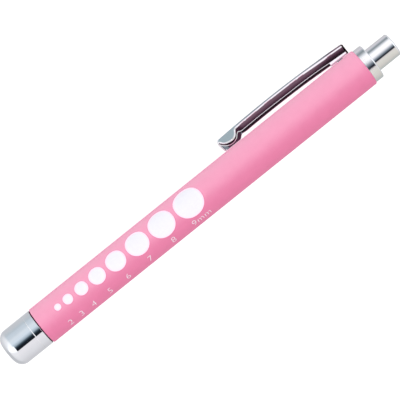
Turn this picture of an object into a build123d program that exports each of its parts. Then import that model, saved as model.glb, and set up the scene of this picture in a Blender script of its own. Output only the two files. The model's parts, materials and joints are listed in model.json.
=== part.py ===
from build123d import *

import os
from math import asin, atan2, cos, degrees, hypot, radians, sin, sqrt

# A diagnostic penlight with a pocket clip and a push button at its tail.
# Millimetres. +X runs along the pen from the nose to the tail, +Z is up, and the origin is the
# centre of the nose's flat front rim. The pen lies on a table: on its barrel and on its clip,
# which points to +Y and a little down.

# Driving dimensions: the outside
LENGTH = 138.9  # front rim to the button's end
BARREL_RADIUS = 5.8
BORE_RADIUS = 5.3
BARREL_FRONT = 12.15
BARREL_REAR = 128.5
BEZEL_LENGTH = 11.9
BEZEL_RADIUS = 5.66
NOSE_CORNER = 3.0
APERTURE_RADIUS = 1.9
COLLAR_RADIUS = 5.5
COLLAR_REAR = 131.2
BUTTON_RADIUS = 3.6
BARREL_FRONT_EDGE = 0.15  # edge radii
BARREL_REAR_EDGE = 0.42
COLLAR_EDGE = 0.35
BUTTON_EDGE = 0.55
EDGE_BREAK = 0.12  # of a turned piece's small edges

# Fits
RUNNING = 0.05  # radial clearance of a piece that slides or turns
GAP = 0.05  # space between faces that meet across a joint
CUT_PAST = 1.0  # how far a cut runs on past a surface

# Head
THREAD_RADIUS = BORE_RADIUS - 0.06
THREAD_LENGTH = 5.5
MODULE_BORE = 4.4
MODULE_RADIUS = MODULE_BORE - 0.08
RIM_THICKNESS = 1.0
THREAD_CHAMFER = 0.3
LENS_REAR = 2.3
REFLECTOR_REAR = 9.0
LED_RADIUS = 2.45
LED_FLANGE_RADIUS = 2.9
LED_FLANGE = 1.0
LEAD_SPACING = 2.54
LEAD_WIDTH = 0.5
HOLDER_REAR = 13.0
BOARD_THICKNESS = 0.8

# Cells (AAA, LR03)
CELL_LENGTH = 44.5
CELL_RADIUS = 5.15
JACKET_THICKNESS = 0.1
JACKET_INSET = 0.1  # from the negative end
NUB_RADIUS = 1.9
NUB_HEIGHT = 0.8
NUB_EDGE = 0.25
CAP_THICKNESS = 0.3
CAP_MARGIN = 0.4  # of bare can round the negative cap
CAP_EDGE = 0.15
CELLS_FRONT = 17.0

# Tail switch
SWITCH_RADIUS = BORE_RADIUS - 0.05
BASE_FRONT = 109.7
BASE_REAR = 111.2
HOUSING_REAR = 120.4
HOUSING_WALL = 1.0
CHAMBER_RADIUS = 3.3
STEM_RADIUS = 2.0
COLLAR_CAVITY = 4.6
COLLAR_SHOULDER = 127.25
FLANGE_RADIUS = 4.3
FLANGE_THICKNESS = 1.2
TOOTH_COUNT = 8
TOOTH_HEIGHT = 0.6

# Springs: wire thickness, coil radius, turns
FRONT_SPRING = (0.35, 2.35, 3.5)
TAIL_SPRING = (0.45, 3.4, 3)
CONTACT_SPRING = (0.3, 2.75, 4)
RETURN_SPRING = (0.45, 2.9, 5)

# Clip, with heights measured from the pen's axis
CLIP_TIP = 82.5
CLIP_ROOT = 127.4
CLIP_HALF_WIDTH = 2.5
CLIP_STEP = 0.2  # how far the lower band and the tip's pad stand out
CLIP_SHOULDER = 0.55
CLIP_BEVEL = 0.12
PAD_SETBACK = 0.3  # from the clip's outer line to the top of the tip's pad
CLIP_SHEET = 0.7
CLIP_CROWN_X = 100.5
CLIP_CROWN_HEIGHT = BARREL_RADIUS + 4.33
CLIP_ARCH_RADIUS = 369.0
CLIP_SEAT = BARREL_RADIUS + 0.06
CLIP_TIP_RISE = 2.1  # height of the spoon's foremost point above the seat
TONGUE_HALF_WIDTH = 1.2
TONGUE_FRONT = 123.45
TONGUE_REAR = 126.1
TONGUE_SHEET = 0.95
TONGUE_BOTTOM = 4.55
TONGUE_LEG = 0.4  # thickness of the part under the barrel's wall

# The roll at which the spoon's pad and the barrel touch the same table
PAD_FALL = 0.17  # of the clip's outer line from its crown to the pad's rear
pad_corner = CLIP_CROWN_HEIGHT - PAD_FALL - PAD_SETBACK - CLIP_BEVEL
pad_half_width = CLIP_HALF_WIDTH + CLIP_STEP
pad_reach = hypot(pad_corner, pad_half_width)
CLIP_ROLL = degrees(asin(BARREL_RADIUS / pad_reach) - atan2(pad_half_width, pad_corner))
# x along the pen, y out from its axis through the clip
CLIP_PLANE = Plane(
    origin=(0, 0, 0),
    x_dir=(1, 0, 0),
    z_dir=(0, sin(radians(CLIP_ROLL)), cos(radians(CLIP_ROLL))),
)

os.makedirs("parts", exist_ok=True)


def band(x_from, x_to, inner, outer, mode=Mode.ADD):
    """A rectangle of a half-section, between two stations and two radii."""
    with Locations(((x_from + x_to) / 2, (inner + outer) / 2)):
        Rectangle(x_to - x_from, outer - inner, mode=mode)


def finish(builder, name):
    """Label a finished piece and write it."""
    builder.part.label = name
    export_step(builder.part, f"parts/{name}.step")


def rims(builder, x):
    """The piece's round edges at one station, the smallest first."""
    found = builder.edges().filter_by(GeomType.CIRCLE)
    return found.filter_by_position(Axis.X, x - 0.01, x + 0.01).sort_by(SortBy.RADIUS)


def wind(x_from, x_to, spring, cone_angle=0.0):
    """Wind the spring in progress in the space between two stations, on a cylinder or a cone."""
    wire, radius, turns = spring
    length = x_to - x_from - wire
    coil = Helix(
        pitch=length / turns,
        height=length,
        radius=radius,
        center=(x_from + wire / 2, 0, 0),
        direction=(1, 0, 0),
        cone_angle=cone_angle,
        mode=Mode.PRIVATE,
    )
    with BuildSketch(Plane(origin=coil @ 0, z_dir=coil % 0)) as section:
        Circle(wire / 2)
    sweep(section.sketch, path=coil, is_frenet=True)


# ---- Barrel ----

SLOT_FRONT = 123.25
SLOT_REAR = 125.2
SLOT_HALF_WIDTH = TONGUE_HALF_WIDTH + 0.15

with BuildPart() as barrel_tube:
    with BuildSketch(Plane.XY):
        band(BARREL_FRONT, BARREL_REAR, BORE_RADIUS, BARREL_RADIUS)
    revolve(axis=Axis.X)
    fillet(rims(barrel_tube, BARREL_REAR)[-1], BARREL_REAR_EDGE)
    fillet(rims(barrel_tube, BARREL_FRONT)[-1], BARREL_FRONT_EDGE)
    with BuildSketch(CLIP_PLANE):
        band(SLOT_FRONT, SLOT_REAR, BORE_RADIUS - CUT_PAST, BARREL_RADIUS + CUT_PAST)
    extrude(amount=SLOT_HALF_WIDTH, both=True, mode=Mode.SUBTRACT)
finish(barrel_tube, "barrel_tube")

# ---- Head: the bezel, which screws into the barrel ----

GROOVE_X = 9.45
GROOVE_WIDTH = 0.24
GROOVE_DEPTH = 0.14
thread_rear = BEZEL_LENGTH + THREAD_LENGTH

with BuildPart() as bezel:
    with BuildSketch(Plane.XY):
        band(0, BEZEL_LENGTH, APERTURE_RADIUS, BEZEL_RADIUS)
        band(BEZEL_LENGTH, thread_rear, APERTURE_RADIUS, THREAD_RADIUS)
        band(RIM_THICKNESS, thread_rear, 0, MODULE_BORE, mode=Mode.SUBTRACT)
        band(
            GROOVE_X - GROOVE_WIDTH / 2,
            GROOVE_X + GROOVE_WIDTH / 2,
            BEZEL_RADIUS - GROOVE_DEPTH,
            BEZEL_RADIUS + CUT_PAST,
            mode=Mode.SUBTRACT,
        )
    revolve(axis=Axis.X)
    fillet(rims(bezel, 0)[-1], NOSE_CORNER)
    chamfer(rims(bezel, 0)[0], EDGE_BREAK)
    fillet(rims(bezel, BEZEL_LENGTH)[-1], EDGE_BREAK)
    chamfer(rims(bezel, thread_rear)[-1], THREAD_CHAMFER)
finish(bezel, "bezel")

O_RING_SET_IN = 0.2
O_RING_REAR = BARREL_FRONT - 0.02

with BuildPart() as head_o_ring:
    with BuildSketch(Plane.XY):
        band(BEZEL_LENGTH, O_RING_REAR, THREAD_RADIUS, BEZEL_RADIUS - O_RING_SET_IN)
    revolve(axis=Axis.X)
finish(head_o_ring, "head_o_ring")

# ---- Head: the light module, which the bezel carries ----

LENS_FRONT = RIM_THICKNESS + 0.08
LENS_DOME = 0.3  # station of the dome's top
LENS_DOME_HEIGHT = 0.5
LENS_DOME_RADIUS = APERTURE_RADIUS - 0.15

with BuildPart() as lens:
    with BuildSketch(Plane.XY):
        band(LENS_FRONT, LENS_REAR, 0, MODULE_RADIUS)
        with BuildLine():
            dome_top = (LENS_DOME, 0)
            dome_edge = (LENS_DOME + LENS_DOME_HEIGHT, LENS_DOME_RADIUS)
            Polyline(dome_top, (LENS_FRONT, 0), (LENS_FRONT, LENS_DOME_RADIUS), dome_edge)
            TangentArc(dome_top, dome_edge, tangent=(0, 1), tangent_from_first=True)
        make_face()
    revolve(axis=Axis.X)
finish(lens, "lens")

REFLECTOR_FRONT = LENS_REAR + GAP
CUP_DEPTH = 4.7
CUP_LIP = 0.35
CUP_CURVE = 12.0
THROAT_RADIUS = LED_RADIUS + 0.1

with BuildPart() as reflector:
    with BuildSketch(Plane.XY):
        band(REFLECTOR_FRONT, REFLECTOR_REAR, THROAT_RADIUS, MODULE_RADIUS)
        with BuildLine():
            cup_rim = (REFLECTOR_FRONT, MODULE_RADIUS - CUP_LIP)
            cup_throat = (REFLECTOR_FRONT + CUP_DEPTH, THROAT_RADIUS)
            Line((REFLECTOR_FRONT, 0), cup_rim)
            RadiusArc(cup_rim, cup_throat, CUP_CURVE)
            Polyline(cup_throat, (cup_throat[0], 0), (REFLECTOR_FRONT, 0))
        make_face(mode=Mode.SUBTRACT)
    revolve(axis=Axis.X)
finish(reflector, "reflector")

FLANGE_FRONT = REFLECTOR_REAR + GAP
FLANGE_REAR = FLANGE_FRONT + LED_FLANGE
DOME_CENTRE = 7.0

with BuildPart() as led_body:
    with BuildSketch(Plane.XY):
        band(DOME_CENTRE, FLANGE_REAR, 0, LED_RADIUS)
        band(FLANGE_FRONT, FLANGE_REAR, 0, LED_FLANGE_RADIUS)
        with BuildLine():
            CenterArc((DOME_CENTRE, 0), LED_RADIUS, 90, 90)
            Polyline((DOME_CENTRE - LED_RADIUS, 0), (DOME_CENTRE, 0), (DOME_CENTRE, LED_RADIUS))
        make_face()
    revolve(axis=Axis.X)
finish(led_body, "led_body")

BOARD_REAR = HOLDER_REAR + BOARD_THICKNESS
LEAD_REAR = BOARD_REAR + 0.35  # clipped off behind the board
LEAD_HOLE = LEAD_WIDTH * 0.75
lead_places = GridLocations(LEAD_SPACING, 0, 2, 1)

with BuildPart() as led_leads:
    with BuildSketch(Plane.YZ.offset(FLANGE_REAR)):
        with lead_places:
            Rectangle(LEAD_WIDTH, LEAD_WIDTH)
    extrude(amount=LEAD_REAR - FLANGE_REAR)
finish(led_leads, "led_leads")

with BuildPart() as led_holder:
    with BuildSketch(Plane.XY):
        band(FLANGE_FRONT, HOLDER_REAR, 0, MODULE_RADIUS)
        band(FLANGE_FRONT, FLANGE_REAR, 0, LED_FLANGE_RADIUS + RUNNING, mode=Mode.SUBTRACT)
    revolve(axis=Axis.X)
    with BuildSketch(Plane.YZ.offset(FLANGE_REAR)):
        with lead_places:
            Circle(LEAD_WIDTH)
    extrude(amount=HOLDER_REAR - FLANGE_REAR, mode=Mode.SUBTRACT)
finish(led_holder, "led_holder")

with BuildPart() as driver_board:
    with BuildSketch(Plane.YZ.offset(HOLDER_REAR)):
        Circle(MODULE_RADIUS)
        with lead_places:
            Circle(LEAD_HOLE, mode=Mode.SUBTRACT)
    extrude(amount=BOARD_THICKNESS)
finish(driver_board, "driver_board")

RESISTOR_SIZE = (1.6, 0.8)
RESISTOR_HEIGHT = 0.45
RESISTOR_OFF_AXIS = 3.3

with BuildPart() as resistor:
    with BuildSketch(Plane.YZ.offset(BOARD_REAR)):
        with Locations((0, RESISTOR_OFF_AXIS)):
            Rectangle(*RESISTOR_SIZE)
    extrude(amount=RESISTOR_HEIGHT)
finish(resistor, "resistor")

with BuildPart() as front_contact_spring:
    wind(BOARD_REAR, CELLS_FRONT - GAP, FRONT_SPRING, cone_angle=-20)
finish(front_contact_spring, "front_contact_spring")

RETAINER_FRONT = BOARD_REAR + 0.8
RETAINER_REAR = RETAINER_FRONT + 1.6
RETAINER_BORE = 3.1
DRIVER_SLOT_WIDTH = 1.0
DRIVER_SLOT_DEPTH = 0.4

with BuildPart() as module_retaining_ring:
    with BuildSketch(Plane.XY):
        band(RETAINER_FRONT, RETAINER_REAR, RETAINER_BORE, MODULE_BORE)
    revolve(axis=Axis.X)
    with BuildSketch(Plane.XY.offset(-MODULE_BORE)):
        with Locations((RETAINER_REAR, 0)):
            Rectangle(2 * DRIVER_SLOT_DEPTH, DRIVER_SLOT_WIDTH)
    extrude(amount=2 * MODULE_BORE, mode=Mode.SUBTRACT)
finish(module_retaining_ring, "module_retaining_ring")

# ---- Two cells, positive end forward ----

CAN_RADIUS = CELL_RADIUS - JACKET_THICKNESS

for cell, cell_front in (("front_cell", CELLS_FRONT), ("rear_cell", CELLS_FRONT + CELL_LENGTH + GAP)):
    shoulder = cell_front + NUB_HEIGHT
    cell_rear = cell_front + CELL_LENGTH

    with BuildPart() as can:
        with BuildSketch(Plane.XY):
            band(shoulder + CAP_THICKNESS, cell_rear - CAP_THICKNESS, 0, CAN_RADIUS)
        revolve(axis=Axis.X)
    finish(can, cell + "_can")

    with BuildPart() as jacket:
        with BuildSketch(Plane.XY):
            band(shoulder, cell_rear - JACKET_INSET, CAN_RADIUS, CELL_RADIUS)
        revolve(axis=Axis.X)
    finish(jacket, cell + "_jacket")

    with BuildPart() as positive_cap:
        with BuildSketch(Plane.XY):
            band(cell_front, shoulder + CAP_THICKNESS, 0, NUB_RADIUS)
            band(shoulder, shoulder + CAP_THICKNESS, 0, CAN_RADIUS)
        revolve(axis=Axis.X)
        fillet(rims(positive_cap, cell_front)[-1], NUB_EDGE)
    finish(positive_cap, cell + "_positive_cap")

    with BuildPart() as negative_cap:
        with BuildSketch(Plane.XY):
            band(cell_rear - CAP_THICKNESS, cell_rear, 0, CAN_RADIUS - CAP_MARGIN)
        revolve(axis=Axis.X)
        fillet(rims(negative_cap, cell_rear)[-1], CAP_EDGE)
    finish(negative_cap, cell + "_negative_cap")

# ---- Tail: what carries the current behind the cells ----

RIVET_FRONT = BASE_FRONT - 0.6
RIVET_REAR = BASE_REAR + 0.8
RIVET_SHANK = 0.8  # radii
RIVET_HEAD = 2.2
RIVET_TAIL = 1.5

with BuildPart() as tail_spring:
    wind(CELLS_FRONT + 2 * CELL_LENGTH + 2 * GAP, RIVET_FRONT, TAIL_SPRING, cone_angle=-30)
finish(tail_spring, "tail_spring")

with BuildPart() as centre_contact:
    with BuildSketch(Plane.XY):
        band(RIVET_FRONT, BASE_FRONT, 0, RIVET_HEAD)
        band(BASE_FRONT, BASE_REAR, 0, RIVET_SHANK)
        band(BASE_REAR, RIVET_REAR, 0, RIVET_TAIL)
    revolve(axis=Axis.X)
finish(centre_contact, "centre_contact")

with BuildPart() as switch_base:
    with BuildSketch(Plane.XY):
        band(BASE_FRONT, BASE_REAR, RIVET_SHANK, SWITCH_RADIUS)
    revolve(axis=Axis.X)
finish(switch_base, "switch_base")

CONTACT_RING_FRONT = 117.0
CONTACT_RING_REAR = 118.4
CONTACT_RING_DEPTH = 0.4

with BuildPart() as switch_housing:
    with BuildSketch(Plane.XY):
        band(BASE_REAR, HOUSING_REAR, CHAMBER_RADIUS, SWITCH_RADIUS)
        band(HOUSING_REAR - HOUSING_WALL, HOUSING_REAR, STEM_RADIUS + RUNNING, SWITCH_RADIUS)
        band(
            CONTACT_RING_FRONT,
            CONTACT_RING_REAR,
            BORE_RADIUS - CONTACT_RING_DEPTH,
            BORE_RADIUS + CUT_PAST,
            mode=Mode.SUBTRACT,
        )
    revolve(axis=Axis.X)
finish(switch_housing, "switch_housing")

with BuildPart() as barrel_contact_ring:
    with BuildSketch(Plane.XY):
        band(CONTACT_RING_FRONT, CONTACT_RING_REAR, BORE_RADIUS - CONTACT_RING_DEPTH, BORE_RADIUS)
    revolve(axis=Axis.X)
finish(barrel_contact_ring, "barrel_contact_ring")

# ---- Tail: the collar ----

COLLAR_FRONT = HOUSING_REAR + 0.1
COLLAR_MOUTH = 0.25  # chamfer round the button
TONGUE_WINDOW_REAR = SLOT_REAR + 1.3

with BuildPart() as tail_collar:
    with BuildSketch(Plane.XY):
        band(COLLAR_FRONT, BARREL_REAR, BUTTON_RADIUS + RUNNING, BORE_RADIUS)
        band(BARREL_REAR, COLLAR_REAR, BUTTON_RADIUS + RUNNING, COLLAR_RADIUS)
        band(COLLAR_FRONT, COLLAR_SHOULDER, 0, COLLAR_CAVITY, mode=Mode.SUBTRACT)
    revolve(axis=Axis.X)
    fillet(rims(tail_collar, COLLAR_REAR)[-1], COLLAR_EDGE)
    chamfer(rims(tail_collar, COLLAR_REAR)[0], COLLAR_MOUTH)
    # the clip's tongue passes through the skirt
    with BuildSketch(CLIP_PLANE):
        band(HOUSING_REAR, TONGUE_WINDOW_REAR, COLLAR_CAVITY - CUT_PAST, BORE_RADIUS + CUT_PAST)
    extrude(amount=SLOT_HALF_WIDTH + 2 * RUNNING, both=True, mode=Mode.SUBTRACT)
finish(tail_collar, "tail_collar")

# ---- Tail: the button and the latch behind it ----

button_flange_rear = COLLAR_SHOULDER - GAP
button_flange_front = button_flange_rear - FLANGE_THICKNESS
STEM_REAR = 136.4

with BuildPart() as push_button:
    with BuildSketch(Plane.XY):
        band(button_flange_front, button_flange_rear, STEM_RADIUS, FLANGE_RADIUS)
        band(button_flange_rear, LENGTH, STEM_RADIUS, BUTTON_RADIUS)
        band(STEM_REAR + GAP, LENGTH, 0, STEM_RADIUS)
    revolve(axis=Axis.X)
    fillet(rims(push_button, LENGTH)[-1], BUTTON_EDGE)
finish(push_button, "push_button")

TEETH_RADIUS = CHAMBER_RADIUS - 0.08
CROWN_REAR = HOUSING_REAR - HOUSING_WALL - 2 * GAP
CROWN_LENGTH = 1.0
CROWN_FRONT = CROWN_REAR - CROWN_LENGTH
STEM_EDGE = 0.2
TOOTH_WIDTH = 1.5


def cut_teeth(x_root, x_tip):
    """Saw teeth round the pen's axis, cut into the crown in progress."""
    for tooth in range(TOOTH_COUNT):
        # this plane's normal points out from the axis
        radial = Plane.XY.rotated((tooth * 360 / TOOTH_COUNT, 0, 0))
        with BuildSketch(radial) as notch:
            with BuildLine():
                Polyline(
                    (x_root, -TOOTH_WIDTH / 2),
                    (x_tip, -TOOTH_WIDTH / 2),
                    (x_tip, TOOTH_WIDTH / 2),
                    close=True,
                )
            make_face()
        extrude(notch.sketch, amount=CHAMBER_RADIUS, mode=Mode.SUBTRACT)


with BuildPart() as switch_plunger:
    with BuildSketch(Plane.XY):
        band(CROWN_FRONT, CROWN_REAR, 0, TEETH_RADIUS)
        band(CROWN_REAR, STEM_REAR, 0, STEM_RADIUS)
    revolve(axis=Axis.X)
    cut_teeth(CROWN_FRONT + TOOTH_HEIGHT, CROWN_FRONT)
    fillet(rims(switch_plunger, STEM_REAR)[-1], STEM_EDGE)
finish(switch_plunger, "switch_plunger")

ROTOR_REAR = CROWN_FRONT - 2 * GAP
ROTOR_FRONT = 115.45
CONTACT_DISC = 0.4  # thickness of the moving contact
CONTACT_DISC_RADIUS = 2.3

with BuildPart() as switch_rotor:
    with BuildSketch(Plane.XY):
        band(ROTOR_FRONT, ROTOR_REAR, 0, TEETH_RADIUS)
    revolve(axis=Axis.X)
    cut_teeth(ROTOR_REAR - TOOTH_HEIGHT, ROTOR_REAR)
finish(switch_rotor, "switch_rotor")

with BuildPart() as moving_contact:
    with BuildSketch(Plane.XY):
        band(ROTOR_FRONT - CONTACT_DISC, ROTOR_FRONT, 0, CONTACT_DISC_RADIUS)
    revolve(axis=Axis.X)
finish(moving_contact, "moving_contact")

with BuildPart() as contact_spring:
    wind(BASE_REAR, ROTOR_FRONT, CONTACT_SPRING)
finish(contact_spring, "contact_spring")

with BuildPart() as return_spring:
    wind(HOUSING_REAR, button_flange_front, RETURN_SPRING)
finish(return_spring, "return_spring")

# ---- Pocket clip: a pressed channel with a spoon tip and a tongue through the barrel ----

ARM_START = 89.9  # behind the spoon
ARM_END = 122.6  # in front of the root
UNDERSIDE_FRONT = BARREL_RADIUS + 1.05
UNDERSIDE_MIDDLE = BARREL_RADIUS + 1.18
LOWER_BAND = 0.75
PAD_LENGTH = 6.2
PAD_DROP = 1.35  # lowest point of the half-moon above the seat
BAND_DIP = 0.72  # lowest point of the band's upper edge above the seat
FLANGE_SHEET = 0.6
arm_middle = (ARM_START + ARM_END) / 2


def clip_top(x):
    """Height of the clip's outer line at a station, from the pen's axis."""
    fall = CLIP_ARCH_RADIUS - sqrt(CLIP_ARCH_RADIUS**2 - (x - CLIP_CROWN_X) ** 2)
    return CLIP_CROWN_HEIGHT - fall


def on_top(x, setback=0.0):
    """A point on the clip's outer line, or set back from it."""
    return (x, clip_top(x) - setback)


# points of the side outline, from the tip round to the seat behind it
tip = (CLIP_TIP, CLIP_SEAT + CLIP_TIP_RISE)
tip_top = on_top(CLIP_TIP + 0.35)
crown = (CLIP_CROWN_X, CLIP_CROWN_HEIGHT)
root_top = on_top(CLIP_ROOT)
root_bottom = (CLIP_ROOT - 0.1, CLIP_SEAT)
arm_rear = (ARM_END, CLIP_SEAT)
underside_middle = (arm_middle, UNDERSIDE_MIDDLE)
arm_front = (ARM_START, UNDERSIDE_FRONT)
spoon_rear = (ARM_START - 1.3, CLIP_SEAT)
spoon_front = (CLIP_TIP + 1.1, CLIP_SEAT)
# the lower band, above the same underside
band_rear = (ARM_END, CLIP_SEAT + LOWER_BAND)
band_middle = (arm_middle, UNDERSIDE_MIDDLE + LOWER_BAND)
band_front = (ARM_START + 1.0, UNDERSIDE_FRONT + LOWER_BAND + 0.05)
band_dip = (CLIP_TIP + 3.9, CLIP_SEAT + BAND_DIP)
band_tip = (CLIP_TIP + 0.15, CLIP_SEAT + 2.2)
band_nose = (CLIP_TIP + 0.25, CLIP_SEAT + 1.1)
band_start = (spoon_front[0] + 0.1, CLIP_SEAT)
# the half-moon pad
pad_front = (CLIP_TIP + 0.5, clip_top(CLIP_TIP) - PAD_SETBACK)
pad_middle = (CLIP_TIP + 3.7, CLIP_SEAT + PAD_DROP)
pad_rear = on_top(CLIP_TIP + 0.5 + PAD_LENGTH, PAD_SETBACK)
# the hollow
HOLLOW_FRONT = ARM_START + 1.2
HOLLOW_REAR = ARM_END - 1.0
hollow_front = on_top(HOLLOW_FRONT, CLIP_SHEET)
hollow_crown = on_top(CLIP_CROWN_X, CLIP_SHEET)
hollow_rear = on_top(HOLLOW_REAR, CLIP_SHEET)

with BuildPart() as pocket_clip:
    # the side outline, between the channel's flat sides
    with BuildSketch(CLIP_PLANE):
        with BuildLine():
            ThreePointArc(tip_top, crown, root_top)
            Polyline(root_top, root_bottom, arm_rear)
            ThreePointArc(arm_rear, underside_middle, arm_front)
            Polyline(arm_front, spoon_rear, spoon_front)
            ThreePointArc(spoon_front, tip, tip_top)
        make_face()
    extrude(amount=CLIP_HALF_WIDTH, both=True)
    top_edges = pocket_clip.edges().filter_by(GeomType.CIRCLE).sort_by(SortBy.RADIUS)[-2:]
    fillet(top_edges, CLIP_SHOULDER)

    # the lower band of the sides, which sweeps down under the spoon
    with BuildSketch(CLIP_PLANE):
        with BuildLine():
            ThreePointArc(arm_rear, underside_middle, arm_front)
            Polyline(arm_front, spoon_rear, band_start)
            ThreePointArc(band_start, band_nose, band_tip)
            ThreePointArc(band_tip, band_dip, band_front)
            ThreePointArc(band_front, band_middle, band_rear)
            Line(band_rear, arm_rear)
        make_face()
    extrude(amount=CLIP_HALF_WIDTH + CLIP_STEP, both=True)

    # the half-moon pad on each side of the spoon
    with BuildSketch(CLIP_PLANE):
        with BuildLine():
            Line(pad_front, pad_rear)
            ThreePointArc(pad_rear, pad_middle, pad_front)
        make_face()
    extrude(amount=CLIP_HALF_WIDTH + CLIP_STEP, both=True)
    outer_sides = pocket_clip.faces().filter_by(CLIP_PLANE).filter_by(
        lambda side: abs(CLIP_PLANE.to_local_coords(side.center()).Z) > CLIP_HALF_WIDTH + CLIP_STEP / 2
    )
    chamfer(outer_sides.edges(), CLIP_BEVEL)

    # the hollow of the channel
    with BuildSketch(CLIP_PLANE):
        with BuildLine():
            ThreePointArc(hollow_front, hollow_crown, hollow_rear)
            Polyline(hollow_rear, (HOLLOW_REAR, BARREL_RADIUS), (HOLLOW_FRONT, BARREL_RADIUS), hollow_front)
        make_face()
    extrude(amount=CLIP_HALF_WIDTH - FLANGE_SHEET, both=True, mode=Mode.SUBTRACT)

    # the tongue, which hooks under the barrel's wall
    with BuildSketch(CLIP_PLANE):
        band(TONGUE_FRONT, TONGUE_FRONT + TONGUE_SHEET, TONGUE_BOTTOM, CLIP_SEAT + 0.5)
        band(TONGUE_FRONT, TONGUE_REAR, TONGUE_BOTTOM, TONGUE_BOTTOM + TONGUE_LEG)
    extrude(amount=TONGUE_HALF_WIDTH, both=True)
finish(pocket_clip, "pocket_clip")
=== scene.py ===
import json
from math import cos, pi, radians, sin, sqrt, tan

import bmesh
import bpy
import numpy as np
from mathutils import Matrix, Vector


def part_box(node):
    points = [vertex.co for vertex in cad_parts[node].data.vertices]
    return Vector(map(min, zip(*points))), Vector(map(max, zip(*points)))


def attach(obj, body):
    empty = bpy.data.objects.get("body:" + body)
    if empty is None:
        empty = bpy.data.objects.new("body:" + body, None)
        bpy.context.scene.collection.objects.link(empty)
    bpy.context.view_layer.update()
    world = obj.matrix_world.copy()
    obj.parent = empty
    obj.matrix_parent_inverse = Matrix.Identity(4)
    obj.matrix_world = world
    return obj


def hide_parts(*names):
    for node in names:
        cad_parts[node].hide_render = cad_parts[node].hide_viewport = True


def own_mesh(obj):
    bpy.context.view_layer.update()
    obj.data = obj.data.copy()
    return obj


# A diagnostic penlight with a pupil gauge, lying on a white table. Shape sizes are in millimetres,
# in the frame of the CAD model: x runs along the pen from its nose, and z is up.

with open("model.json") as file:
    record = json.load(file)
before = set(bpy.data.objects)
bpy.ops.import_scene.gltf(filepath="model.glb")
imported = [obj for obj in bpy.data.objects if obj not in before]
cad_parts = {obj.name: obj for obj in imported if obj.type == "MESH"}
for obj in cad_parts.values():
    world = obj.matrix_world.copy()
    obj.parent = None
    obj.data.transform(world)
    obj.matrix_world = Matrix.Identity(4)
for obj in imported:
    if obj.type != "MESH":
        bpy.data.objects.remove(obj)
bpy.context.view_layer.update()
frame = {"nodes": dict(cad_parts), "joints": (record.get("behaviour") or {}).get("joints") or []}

MM = 0.001
ALONG = Vector((1, 0, 0))
clip_hinge = next(joint for joint in frame["joints"] if joint["name"] == "clip_flex")
SIDE = -Vector(clip_hinge["axis"]).normalized()  # square to the clip's middle plane, on its upper side
OUT = SIDE.cross(ALONG)  # from the pen's axis towards the clip


def reach(node):
    """A turned node's front, rear and outer radius."""
    low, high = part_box(node)
    return low.x / MM, high.x / MM, high.y / MM


PEN_MIDDLE = ALONG * (reach("push_button")[1] / 2 * MM)
BARREL_RADIUS = reach("barrel_tube")[2]


def smooth_step(low, high, value):
    """0 up to low, 1 from high on, and an S between them."""
    share = np.clip((value - low) / (high - low), 0, 1)
    return share * share * (3 - 2 * share)


# ---- Shader nodes. An owner is the material or world whose nodes they are. ----


def new_material(name):
    """A material and its Principled shader."""
    material = bpy.data.materials.new(name)
    material.use_nodes = True
    return material, material.node_tree.nodes["Principled BSDF"]


def plug(owner, source, target):
    """Link an output to an input."""
    owner.node_tree.links.new(source, target)


def constants(shader, **values):
    """Set the shader's own sockets; an underscore stands for a space."""
    for key, value in values.items():
        shader.inputs[key.replace("_", " ")].default_value = value


def noise(material, scale, stretch=(1, 1, 1), detail=3.0):
    """Noise in the object's own space, with its scale in cells per millimetre."""
    nodes = material.node_tree.nodes
    place = nodes.new("ShaderNodeTexCoord")
    mapping = nodes.new("ShaderNodeMapping")
    mapping.inputs["Scale"].default_value = stretch
    texture = nodes.new("ShaderNodeTexNoise")
    texture.inputs["Scale"].default_value = scale / MM
    texture.inputs["Detail"].default_value = detail
    plug(material, place.outputs["Object"], mapping.inputs["Vector"])
    plug(material, mapping.outputs["Vector"], texture.inputs["Vector"])
    return texture.outputs["Fac"]


def between(owner, factor, low, high, from_low=0.3, from_high=0.7, interpolation="LINEAR"):
    """Spread a factor between two numbers."""
    spread = owner.node_tree.nodes.new("ShaderNodeMapRange")
    spread.interpolation_type = interpolation
    for key, value in (("From Min", from_low), ("From Max", from_high), ("To Min", low), ("To Max", high)):
        spread.inputs[key].default_value = value
    plug(owner, factor, spread.inputs["Value"])
    return spread.outputs["Result"]


def mixed(owner, factor, colour_a, colour_b):
    """One colour where the factor is 0 and the other where it is 1; each is a colour or an output."""
    mix = owner.node_tree.nodes.new("ShaderNodeMix")
    mix.data_type = "RGBA"
    for socket, colour in ((mix.inputs[6], colour_a), (mix.inputs[7], colour_b)):
        if isinstance(colour, bpy.types.NodeSocket):
            plug(owner, colour, socket)
        else:
            socket.default_value = (*colour, 1)
    plug(owner, factor, mix.inputs[0])
    return mix.outputs[2]


def maths(owner, operation, *values):
    """A Math node on outputs or numbers."""
    node = owner.node_tree.nodes.new("ShaderNodeMath")
    node.operation = operation
    for socket, value in zip(node.inputs, values):
        if isinstance(value, bpy.types.NodeSocket):
            plug(owner, value, socket)
        else:
            socket.default_value = value
    return node.outputs[0]


def bump(material, shader, height, depth):
    """Raise the surface by the height, up to a depth in millimetres."""
    node = material.node_tree.nodes.new("ShaderNodeBump")
    node.inputs["Strength"].default_value = 1.0
    node.inputs["Distance"].default_value = depth * MM
    plug(material, height, node.inputs["Height"])
    plug(material, node.outputs["Normal"], shader.inputs["Normal"])


def object_axis(material, axis):
    """The place along X, Y or Z in the object's own space, in millimetres."""
    nodes = material.node_tree.nodes
    place = nodes.new("ShaderNodeTexCoord")
    split = nodes.new("ShaderNodeSeparateXYZ")
    plug(material, place.outputs["Object"], split.inputs[0])
    return maths(material, "MULTIPLY", split.outputs[axis], 1 / MM)


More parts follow.
